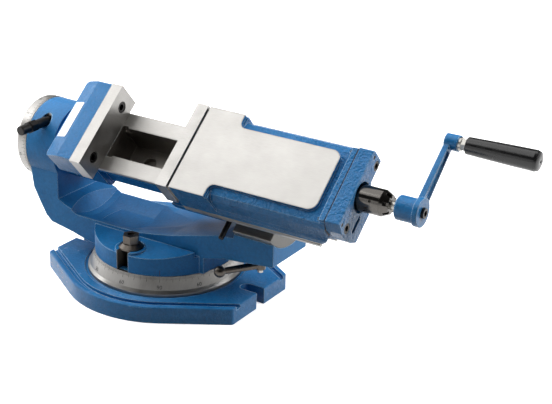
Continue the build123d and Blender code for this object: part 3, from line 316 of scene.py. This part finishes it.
def seen_directly(tree):
    """Is 1 for the camera's rays and for mirrored and clear ones, 0 for rays that carry bounce light."""
    rays = add_node(tree, "LightPath").outputs
    shiny = (rays["Is Glossy Ray"], rays["Is Transmission Ray"])
    mirrored = add_node(tree, "Math", shiny, operation="MAXIMUM").outputs[0]
    return add_node(tree, "Math", (rays["Is Camera Ray"], mirrored), operation="MAXIMUM").outputs[0]


def dress(material, *nodes):
    """Gives CAD nodes a finish."""
    for name in nodes:
        for slot in frame["nodes"][name].material_slots:
            slot.material = material


def placed_object(name, data):
    """New object in the scene."""
    made = bpy.data.objects.new(name, data)
    bpy.context.scene.collection.objects.link(made)
    return made


def finished_mesh(bm, name, material):
    """Mesh of a bmesh, which is freed."""
    mesh = bpy.data.meshes.new(name)
    bm.to_mesh(mesh)
    bm.free()
    mesh.materials.append(material)
    return mesh


def piece_from(bm, name, material, body):
    """Adds a piece, with its place in its mesh, that rides on a body."""
    piece = placed_object(name, finished_mesh(bm, name, material))
    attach(piece, body)


def axes_matrix(right, up, out):
    """Rotation matrix from its three directions."""
    return Matrix((right, up, out)).transposed().to_4x4()


def surface_frame(origin, right, up):
    """Matrix that stands a flat mark on a surface: X right, Y up along it, Z out of it."""
    matrix = axes_matrix(right, up, right.cross(up).normalized())
    matrix.translation = origin
    return matrix


def add_marks(bm, first, size, centre, axis, step, count):
    """Adds count flat bars round an axis, the first standing in the given frame."""
    matrix = first @ Matrix.Diagonal((*size, 1.0))
    made = bmesh.ops.create_cube(bm, size=1.0, matrix=matrix)["verts"]
    if count > 1:
        faces = list({face for vert in made for face in vert.link_faces})
        edges = list({edge for vert in made for edge in vert.link_edges})
        bmesh.ops.spin(
            bm,
            geom=made + edges + faces,
            cent=centre,
            axis=axis,
            angle=step * (count - 1),
            steps=count - 1,
            use_duplicate=True,
        )


def scale_rows(lengths, wide, narrow):
    """Rows of lines that mark each degree: the first degree, step, length and width of every row."""
    long_line, middle_line, short_line = lengths
    rows = [(0, 10, long_line, wide), (5, 10, middle_line, wide)]
    return rows + [(first, 5, short_line, narrow) for first in (1, 2, 3, 4)]


def add_number(bm, text, height, matrix):
    """Adds a raised number, centred in the given frame."""
    curve = bpy.data.curves.new("number", "FONT")
    curve.body = text
    curve.size = height
    curve.align_x = "CENTER"
    curve.align_y = "CENTER"
    curve.extrude = NUMBER_RISE * MM
    curve.resolution_u = NUMBER_CURVE_STEPS
    holder = placed_object("number", curve)
    bpy.context.view_layer.update()
    mesh = bpy.data.meshes.new_from_object(holder.evaluated_get(bpy.context.evaluated_depsgraph_get()))
    mesh.transform(matrix)
    bm.from_mesh(mesh)
    bpy.data.meshes.remove(mesh)
    bpy.data.objects.remove(holder)
    bpy.data.curves.remove(curve)


def add_numbers(bm, turned, standing, height, falling=False):
    """Adds numbers round a scale, from 0 up to 90 and back, or falling from 90 to 0 and back."""
    for degrees in range(0, 360, NUMBER_STEP):
        value = abs((degrees + 90) % 180 - 90)
        shown = 90 - value if falling else value
        add_number(bm, str(shown), height, turned(degrees) @ standing)


def colour_property(name, description, hex_colour):
    """Colour setting with its default as an sRGB hex value."""
    return bpy.props.FloatVectorProperty(
        name=name, description=description, subtype="COLOR", size=4, min=0, max=1, default=linear(hex_colour)
    )


def length_property(name, description, length):
    """Length setting with its default in mm."""
    return bpy.props.FloatProperty(
        name=name, description=description, subtype="DISTANCE", unit="LENGTH", default=length * MM
    )


def power_property(name, description, watts):
    """Lamp power setting."""
    return bpy.props.FloatProperty(
        name=name, description=description, subtype="POWER", unit="POWER", default=watts
    )


class VISE_PG_finish(bpy.types.PropertyGroup):
    """Colours and surface sizes of the finishes."""

    enamel: colour_property("Enamel", "Blue enamel of the castings", "#2079b8")
    enamel_deep: colour_property("Enamel in pores", "Enamel in the hollows of the cast skin", "#1b6aa4")
    enamel_light: colour_property("Enamel on swells", "Enamel where it lies thin", "#4b92cc")
    # Painted highlight: this pale blue along the cast edges stands in for light glinting on them.
    enamel_edge: colour_property("Enamel on edges", "Enamel drawn thin over the cast edges", "#a4cdec")
    seam: colour_property("Seam", "Shaded line where two castings meet", "#102e4a")
    ground: colour_property("Ground steel", "Ground faces and scale rings", "#a6a4a1")
    ground_shade: colour_property("Grinding lines", "Darker lines in ground faces", "#918f8c")
    milled: colour_property("Milled iron", "Milled end of the half-round lug", "#5f5e5c")
    rough: colour_property("Rough iron", "Iron left bare in slots and gaps", "#8f8b86")
    turned: colour_property("Turned steel", "Lathe-turned steel", "#b9b7b2")
    turned_shade: colour_property("Lathe lines", "Darker lines in turned steel", "#98958f")
    polished: colour_property("Polished steel", "Dark polished clutch sleeve", "#615e5b")
    polished_shade: colour_property("Polishing lines", "Darker lines in polished steel", "#4c4a47")
    black: colour_property("Black oxide", "Blackened screws and bars", "#3b3a39")
    black_shade: colour_property("Black oxide lines", "Darker lines in black oxide", "#2a2929")
    blued: colour_property("Blued steel", "Worn blued bolts, washers and lever", "#5a5550")
    blued_shade: colour_property("Blued steel lines", "Darker lines in blued steel", "#45413d")
    bronze: colour_property("Bronze", "Bearing bronze", "#c19a5b")
    bronze_shade: colour_property("Bronze lines", "Darker lines in bronze", "#a9823f")
    spring: colour_property("Spring steel", "Springs and balls of the spindle", "#8f8d8a")
    spring_shade: colour_property("Spring steel lines", "Darker tone of spring steel", "#777571")
    label: colour_property("Label aluminium", "Blank label plate", "#d6d9dd")
    label_shade: colour_property("Label lines", "Darker brushing lines of the label", "#c6cacf")
    rubber: colour_property("Rubber", "Rubber of the piston seal", "#1b1b1b")
    grip: colour_property("Grip", "Black plastic of the grip", "#161617")
    cast_grain: length_property("Cast grain", "Size of the pebbles of the cast skin", 4.2)
    cast_depth: length_property("Cast depth", "Height of the pebbles of the cast skin", 4.0)
    edge_radius: length_property("Cast edge radius", "Softening of cast edges", 2.6)


class VISE_PG_marks(bpy.types.PropertyGroup):
    """Colours and sizes of the scales; swivel lines are drawn wider than real so that they show."""

    ink: colour_property("Ink", "Filler of the scale lines", "#26262a")
    ink_light: colour_property("Thin ink", "Lighter tone of the filler", "#3c3c40")
    line_width: length_property("Line width", "Width of a long swivel scale line", 0.55)
    short_line: length_property("Short line", "Length of a one degree line", 4.5)
    long_line: length_property("Long line", "Length of a ten degree line", 8.5)
    number_height: length_property("Number height", "Height of the swivel scale numbers", 9.0)
    swivel_zero: bpy.props.FloatProperty(
        name="Swivel scale start", description="Where the 90 of the swivel scale stands", subtype="ANGLE",
        unit="ROTATION", default=math.radians(-58.4),
    )


class VISE_PG_stage(bpy.types.PropertyGroup):
    """Light and camera of the photo stage."""

    card: colour_property("Card", "Grey of the card as bounce light meets it", "#8c8c8c")
    world_level: bpy.props.FloatProperty(
        name="Room light", description="Brightness of the room on the object", default=0.04, min=0
    )
    top_power: power_property("Top light", "Power of the wide softbox above", 53.0)
    left_power: power_property("Left light", "Power of the softbox at the left", 23.0)
    right_power: power_property("Right light", "Power of the softbox at the right", 38.0)
    key_power: power_property("Key light", "Power of the small softbox that glints in the cast skin", 3.0)
    strip_power: power_property("Front strip", "Power of the low strip that fills the swivel ring", 2.8)
    lens: bpy.props.FloatProperty(
        name="Focal length", description="Focal length of the camera", subtype="DISTANCE_CAMERA",
        unit="CAMERA", default=85.98,
    )


class VISE_OT_castings(bpy.types.Operator):
    """Enamels the castings and bares their ground and machined faces"""

    bl_idname = "vise.castings"
    bl_label = "Castings"

    def execute(self, context):
        dress(cast_enamel("machine_enamel_base", relief=0.3, gloss=0.18, tilted=False), "swivel_base")
        bolt_slots = ((-11.2, 11.2), (80.0, 118.0), (57.0, 92.0))
        bracket_skin = cast_enamel(
            "machine_enamel_bracket", relief=0.14, gloss=0.36, tilted=False, rough=[bolt_slots]
        )
        dress(bracket_skin, "swivel_bracket")
        dress(cast_enamel("machine_enamel_crank", relief=0.2), "crank")
        plate_joint = ((359.5, 360.5), None, None)
        dress(cast_enamel("machine_enamel_pebbled", relief=0.8, seams=[plate_joint]), "end_plate")
        top_face = ((92.9, 344.0), None, (96.5, 97.6))
        lower_edge = (None, None, (30.0, 40.6))
        running_faces = (None, (0.0, 54.4), (36.0, 47.7))
        jaw_plate_gap = ((80.0, 92.9), None, (40.0, 96.4))
        slide_end = ((358.5, 360.5), None, None)
        slide_skin = cast_enamel(
            "machine_enamel_ground_top",
            relief=1.0,
            ground=[top_face, lower_edge, running_faces],
            rough=[jaw_plate_gap],
            seams=[slide_end],
        )
        dress(slide_skin, "slide")
        rail_tops = ((-100.9, 210.0), None, (47.2, 47.9))
        rail_sides = ((-100.9, 210.0), (53.7, 54.6), (41.5, 47.9))
        lug_end = ((238.6, 239.6), None, (-78.0, 0.4))
        lug_round = ((169.6, 238.7), None, (-78.0, 0.4))
        bed_slot = ((-80.5, 210.0), (0.0, 30.1), (-22.0, 47.15))
        body_skin = cast_enamel(
            "machine_enamel_ground_rails",
            relief=0.24,
            ground=[rail_tops, rail_sides],
            milled=[lug_end],
            rough=[bed_slot, lug_round],
        )
        dress(body_skin, "vise_body")
        return {"FINISHED"}


class VISE_OT_ground_parts(bpy.types.Operator):
    """Finishes the jaw and keeper plates, the scale rings, the turned parts and the polished sleeve"""

    bl_idname = "vise.ground_parts"
    bl_label = "Ground and turned steel"

    def execute(self, context):
        # Hardened steel from the surface grinder: bright, with fine lines, drawn 0.6 mm wide to show.
        plate = worked_metal("ground_jaw_steel", "ground", (9, 0.6, 9), 0.4)
        dress(plate, "fixed_jaw_plate", "moving_jaw_plate", "keeper_plates")
        # Satin chromed ring: even and slightly frosted, with rings from the lathe.
        ring = worked_metal("satin_scale_ring", "ground", (0.7, 12, 12), 0.33)
        dress(ring, "roll_scale_ring", "roll_end_disc", "swivel_scale_ring")
        # Turned steel: bright, with a soft glint and lathe lines round the axis.
        turned = worked_metal("turned_steel", "turned", (0.5, 14, 14), 0.3)
        dress(
            turned,
            "pivot_pin",
            "swivel_t_nuts",
            "swivel_lever_screw",
            "tangent_bushes",
            "main_piston",
            "primary_piston",
            "spindle_screw",
            "drive_shaft",
            "booster_cylinder",
            "booster_cap",
            "grip_stud",
            "spindle_lock_ring",
        )
        # Polished clutch sleeve: dark steel that mirrors the softboxes.
        polished = worked_metal("polished_steel", "polished", (0.5, 14, 14), 0.15)
        dress(polished, "clutch_sleeve", "sleeve_nose")
        return {"FINISHED"}


class VISE_OT_dark_parts(bpy.types.Operator):
    """Finishes the blackened and blued parts, bronze, springs, seal, grip and label"""

    bl_idname = "vise.dark_parts"
    bl_label = "Dark and small parts"

    def execute(self, context):
        finish = context.scene.vise_finish
        # Hot black oxide on steel: deep grey with a dull sheen, its lathe lines still visible.
        black = worked_metal("black_oxide", "black", (0.6, 10, 10), 0.36)
        dress(
            black,
            "fixed_jaw_screws",
            "moving_jaw_screws",
            "roll_end_screws",
            "roll_lock_screw",
            "roll_lock_bar",
            "keeper_screws",
            "end_plate_screws",
            "end_plate_dowels",
            "spindle_nut_screws",
            "thrust_ring",
            "tangent_screw",
            "crank_screw",
            "grip_screw",
        )
        # Blued steel worn by the spanner: brown-grey, brighter than the oxide and with a clear glint.
        blued = worked_metal("worn_blued_steel", "blued", (0.8, 8, 8), 0.3)
        dress(blued, "swivel_lever", "swivel_lever_ball", "swivel_clamp_washers", "swivel_clamp_bolts")
        # Bearing bronze: warm and satin, with lathe lines.
        bronze = worked_metal("bearing_bronze", "bronze", (0.6, 10, 10), 0.33)
        dress(bronze, "trunnion_bushes", "spindle_nut")
        # Spring steel: mid grey and even, with a soft glint.
        spring = worked_metal("spring_steel", "spring", (2, 2, 2), 0.3)
        dress(spring, "disc_springs", "clutch_spring", "clutch_balls")
        # Seal rubber: black and dull.
        dress(moulded("seal_rubber", finish.rubber, 0.6, 1.5), "piston_seal")
        # Polished black thermoset: hard gloss with long faint waves from the mould.
        dress(moulded("glossy_grip_plastic", finish.grip, 0.2, 12), "grip", "grip_end_cap")
        # Brushed aluminium: pale and matt, with fine lines along one side of the plate.
        label = worked_metal("brushed_aluminium", "label", (14, 0.5, 14), 0.42, bevel=0.2)
        dress(label, "label_plate")
        return {"FINISHED"}


class VISE_OT_scales(bpy.types.Operator):
    """Draws the swivel scale with its index line, and the roll scale"""

    bl_idname = "vise.scales"
    bl_label = "Scales"

    def execute(self, context):
        # Black filler in a scale line: flat and slightly uneven in tone.
        marks = context.scene.vise_marks
        ink, tree, shader = blank_material("engraving_ink")
        clouds = {"Vector": vise_place(tree), "Scale": 1 / (INK_CLOUD * MM)}
        cloud = add_node(tree, "TexNoise", clouds).outputs[0]
        tones = {0: cloud, 6: marks.ink, 7: marks.ink_light}
        tone = add_node(tree, "Mix", tones, data_type="RGBA").outputs[2]
        feed(tree, shader, {"Base Color": tone, "Roughness": 0.6})
        self.add_swivel_scale(marks, ink)
        self.add_roll_scale(ink)
        return {"FINISHED"}

    def add_swivel_scale(self, marks, ink):
        """Adds lines down from the top edge of the tapered ring, numbers under them and the index line."""

        def turned(degrees):
            return Matrix.Rotation(marks.swivel_zero + math.radians(degrees), 4, "Z")

        centre, axis = (0, 0, 0), (0, 0, 1)
        across = Vector((0, 1, 0))
        top = Vector(RING_TOP) * MM
        foot = Vector(RING_FOOT) * MM
        up = (top - foot).normalized()
        lengths = (marks.long_line, (marks.long_line + marks.short_line) / 2, marks.short_line)
        bm = bmesh.new()
        rows = scale_rows(lengths, marks.line_width, NARROW_SHARE * marks.line_width)
        for start, step, length, width in rows:
            middle = top - up * (length / 2 + LINE_GAP * MM)
            first = turned(start) @ surface_frame(middle, across, up)
            size = (width, length, LINE_THICKNESS * MM)
            add_marks(bm, first, size, centre, axis, math.radians(step), 360 // step)
        number_at = surface_frame(foot + up * (NUMBER_SHARE * marks.number_height), across, up)
        add_numbers(bm, turned, number_at, marks.number_height, falling=True)
        piece_from(bm, "swivel_scale_marks", ink, "base")
        bm = bmesh.new()
        rim = surface_frame(Vector(INDEX_MIDDLE) * MM, across, Vector((0, 0, 1)))
        size = [length * MM for length in INDEX_SIZE]
        add_marks(bm, turned(0) @ rim, size, centre, axis, 0, 1)
        piece_from(bm, "swivel_index_line", ink, "bracket")

    def add_roll_scale(self, ink):
        """Adds lines along the ring on the trunnion, with numbers at their ends."""
        centre = Vector((0, 0, ROLL_HEIGHT))
        along = Vector((1, 0, 0))
        across = Vector((0, 1, 0))

        def turned(degrees):
            spin = Matrix.Rotation(math.radians(degrees) + ROLL_ANGLE, 4, "X")
            return Matrix.Translation(centre) @ spin

        lengths = [length * MM for length in ROLL_LINE_LENGTHS]
        bm = bmesh.new()
        for start, step, length, width in scale_rows(lengths, ROLL_LINE_WIDE * MM, ROLL_LINE_NARROW * MM):
            middle = Vector((ROLL_RING_EDGE * MM - length / 2, 0, ROLL_RING_RADIUS * MM))
            first = turned(start) @ surface_frame(middle, across, -along)
            size = (width, length, ROLL_LINE_THICKNESS * MM)
            add_marks(bm, first, size, centre, along, math.radians(step), 360 // step)
        number_at = surface_frame(Vector((ROLL_NUMBERS_X, 0, ROLL_RING_RADIUS)) * MM, -across, along)
        add_numbers(bm, turned, number_at, ROLL_NUMBER_HEIGHT * MM)
        piece_from(bm, "roll_scale_marks", ink, "vise")


class VISE_OT_stage(bpy.types.Operator):
    """Builds the pale floor, the soft light and the camera"""

    bl_idname = "vise.stage"
    bl_label = "Stage"

    def execute(self, context):
        stage = context.scene.vise_stage
        context.scene.view_settings.view_transform = "Standard"
        self.add_floor(stage)
        self.light_room(context.scene, stage)
        self.add_softboxes(stage)
        self.add_camera(context.scene, stage)
        return {"FINISHED"}

    def add_floor(self, stage):
        """Adds the card that the vise stands on."""
        # Seamless card: white to the camera and in reflections, with the soft shadow kept, and plain
        # grey as bounce. It glows more far out, where less of the lamps' light reaches it.
        material, tree, shader = blank_material("white_card")
        feed(tree, shader, {"Base Color": stage.card, "Roughness": 0.9})
        seen = add_node(tree, "BsdfDiffuse", {"Color": WHITE})
        place = add_node(tree, "TexCoord").outputs["Object"]
        reach = add_node(tree, "VectorMath", (place,), operation="LENGTH").outputs["Value"]
        spread = (reach, GLOW_START, GLOW_END, GLOW_NEAR, GLOW_FAR)
        strength = add_node(tree, "MapRange", spread).outputs[0]
        glow = add_node(tree, "Emission", {"Color": WHITE, "Strength": strength})
        bright = add_node(tree, "AddShader", (seen.outputs[0], glow.outputs[0]))
        shaders = (seen_directly(tree), shader.outputs[0], bright.outputs[0])
        mixed = add_node(tree, "MixShader", shaders)
        feed(tree, tree.nodes["Material Output"], {"Surface": mixed.outputs[0]})
        bm = bmesh.new()
        bmesh.ops.create_grid(bm, x_segments=1, y_segments=1, size=FLOOR_REACH)
        floor = placed_object("floor", finished_mesh(bm, "floor", material))

    def light_room(self, scene, stage):
        """Puts a white sweep all round, up to 8 degrees above the horizon, with a dim room over it."""
        world = bpy.data.worlds.new("white_room")
        world.use_nodes = True
        scene.world = world
        tree = world.node_tree
        direction = add_node(tree, "TexCoord").outputs["Generated"]
        height = add_node(tree, "SeparateXYZ", (direction,)).outputs["Z"]
        sweep = add_node(tree, "MapRange", (height, SWEEP_FULL, SWEEP_END, 1.0, 0.0)).outputs[0]
        shown = add_node(tree, "Math", (seen_directly(tree), sweep), operation="MULTIPLY").outputs[0]
        level = add_node(tree, "MapRange", (shown, 0.0, 1.0, stage.world_level, 1.0)).outputs[0]
        feed(tree, tree.nodes["Background"], {"Color": WHITE, "Strength": level})

    def add_softboxes(self, stage):
        """Adds the lamps."""
        # name, power, place, aim and size in metres
        softboxes = (
            ("softbox_top", stage.top_power, (-0.85, 0.1, 1.95), (0.0, 0, 0.1), (2.9, 2.9)),
            ("softbox_left", stage.left_power, (-1.95, -0.3, 1.1), (-0.1, 0, 0.15), (1.4, 1.4)),
            ("softbox_right", stage.right_power, (1.75, 0.95, 1.55), (0.3, 0, 0.2), (1.2, 1.2)),
            ("softbox_key", stage.key_power, (-0.72, -0.55, 2.0), (0.1, 0, 0.2), (0.3, 0.3)),
            ("strip_front", stage.strip_power, (-1.0, -2.1, 0.95), (0, 0, 0.1), (1.7, 0.4)),
        )
        for name, power, place, aim, size in softboxes:
            lamp = bpy.data.lights.new(name, "AREA")
            lamp.energy = power
            lamp.shape = "RECTANGLE"
            lamp.size, lamp.size_y = size
            holder = placed_object(name, lamp)
            holder.location = place
            holder.rotation_euler = (Vector(aim) - Vector(place)).to_track_quat("-Z", "Y").to_euler()

    def add_camera(self, scene, stage):
        """Adds the camera at the place fitted to the photograph."""
        camera = placed_object("camera", bpy.data.cameras.new("camera"))
        scene.camera = camera
        camera.data.sensor_width = SENSOR_WIDTH
        camera.data.lens = stage.lens
        outward = math.cos(CAMERA_ELEVATION)
        back = Vector(
            (
                math.sin(CAMERA_AZIMUTH) * outward,
                -math.cos(CAMERA_AZIMUTH) * outward,
                math.sin(CAMERA_ELEVATION),
            )
        )
        level_right = Vector((math.cos(CAMERA_AZIMUTH), math.sin(CAMERA_AZIMUTH), 0))
        level_up = back.cross(level_right)
        right = level_right * math.cos(CAMERA_TILT) + level_up * math.sin(CAMERA_TILT)
        up = level_up * math.cos(CAMERA_TILT) - level_right * math.sin(CAMERA_TILT)
        camera.matrix_world = Matrix.Translation(CAMERA_PLACE) @ axes_matrix(right, up, back)


class VISE_PT_panel(bpy.types.Panel):
    """Steps that finish the vise"""

    bl_idname = "VISE_PT_panel"
    bl_label = "Machine vise"
    bl_space_type = "VIEW_3D"
    bl_region_type = "UI"
    bl_category = "Vise"

    def draw(self, context):
        for operator in OPERATORS:
            self.layout.operator(operator.bl_idname)


OPERATORS = (VISE_OT_castings, VISE_OT_ground_parts, VISE_OT_dark_parts, VISE_OT_scales, VISE_OT_stage)
GROUPS = {"vise_finish": VISE_PG_finish, "vise_marks": VISE_PG_marks, "vise_stage": VISE_PG_stage}


def register():
    for name, group in GROUPS.items():
        bpy.utils.register_class(group)
        setattr(bpy.types.Scene, name, bpy.props.PointerProperty(type=group))
    for operator in OPERATORS:
        bpy.utils.register_class(operator)
    bpy.utils.register_class(VISE_PT_panel)


def unregister():
    bpy.utils.unregister_class(VISE_PT_panel)
    for operator in reversed(OPERATORS):
        bpy.utils.unregister_class(operator)
    for name, group in GROUPS.items():
        delattr(bpy.types.Scene, name)
        bpy.utils.unregister_class(group)


def main():
    register()
    bpy.ops.vise.castings()
    bpy.ops.vise.ground_parts()
    bpy.ops.vise.dark_parts()
    bpy.ops.vise.scales()
    bpy.ops.vise.stage()


if __name__ == "__main__":
    main()
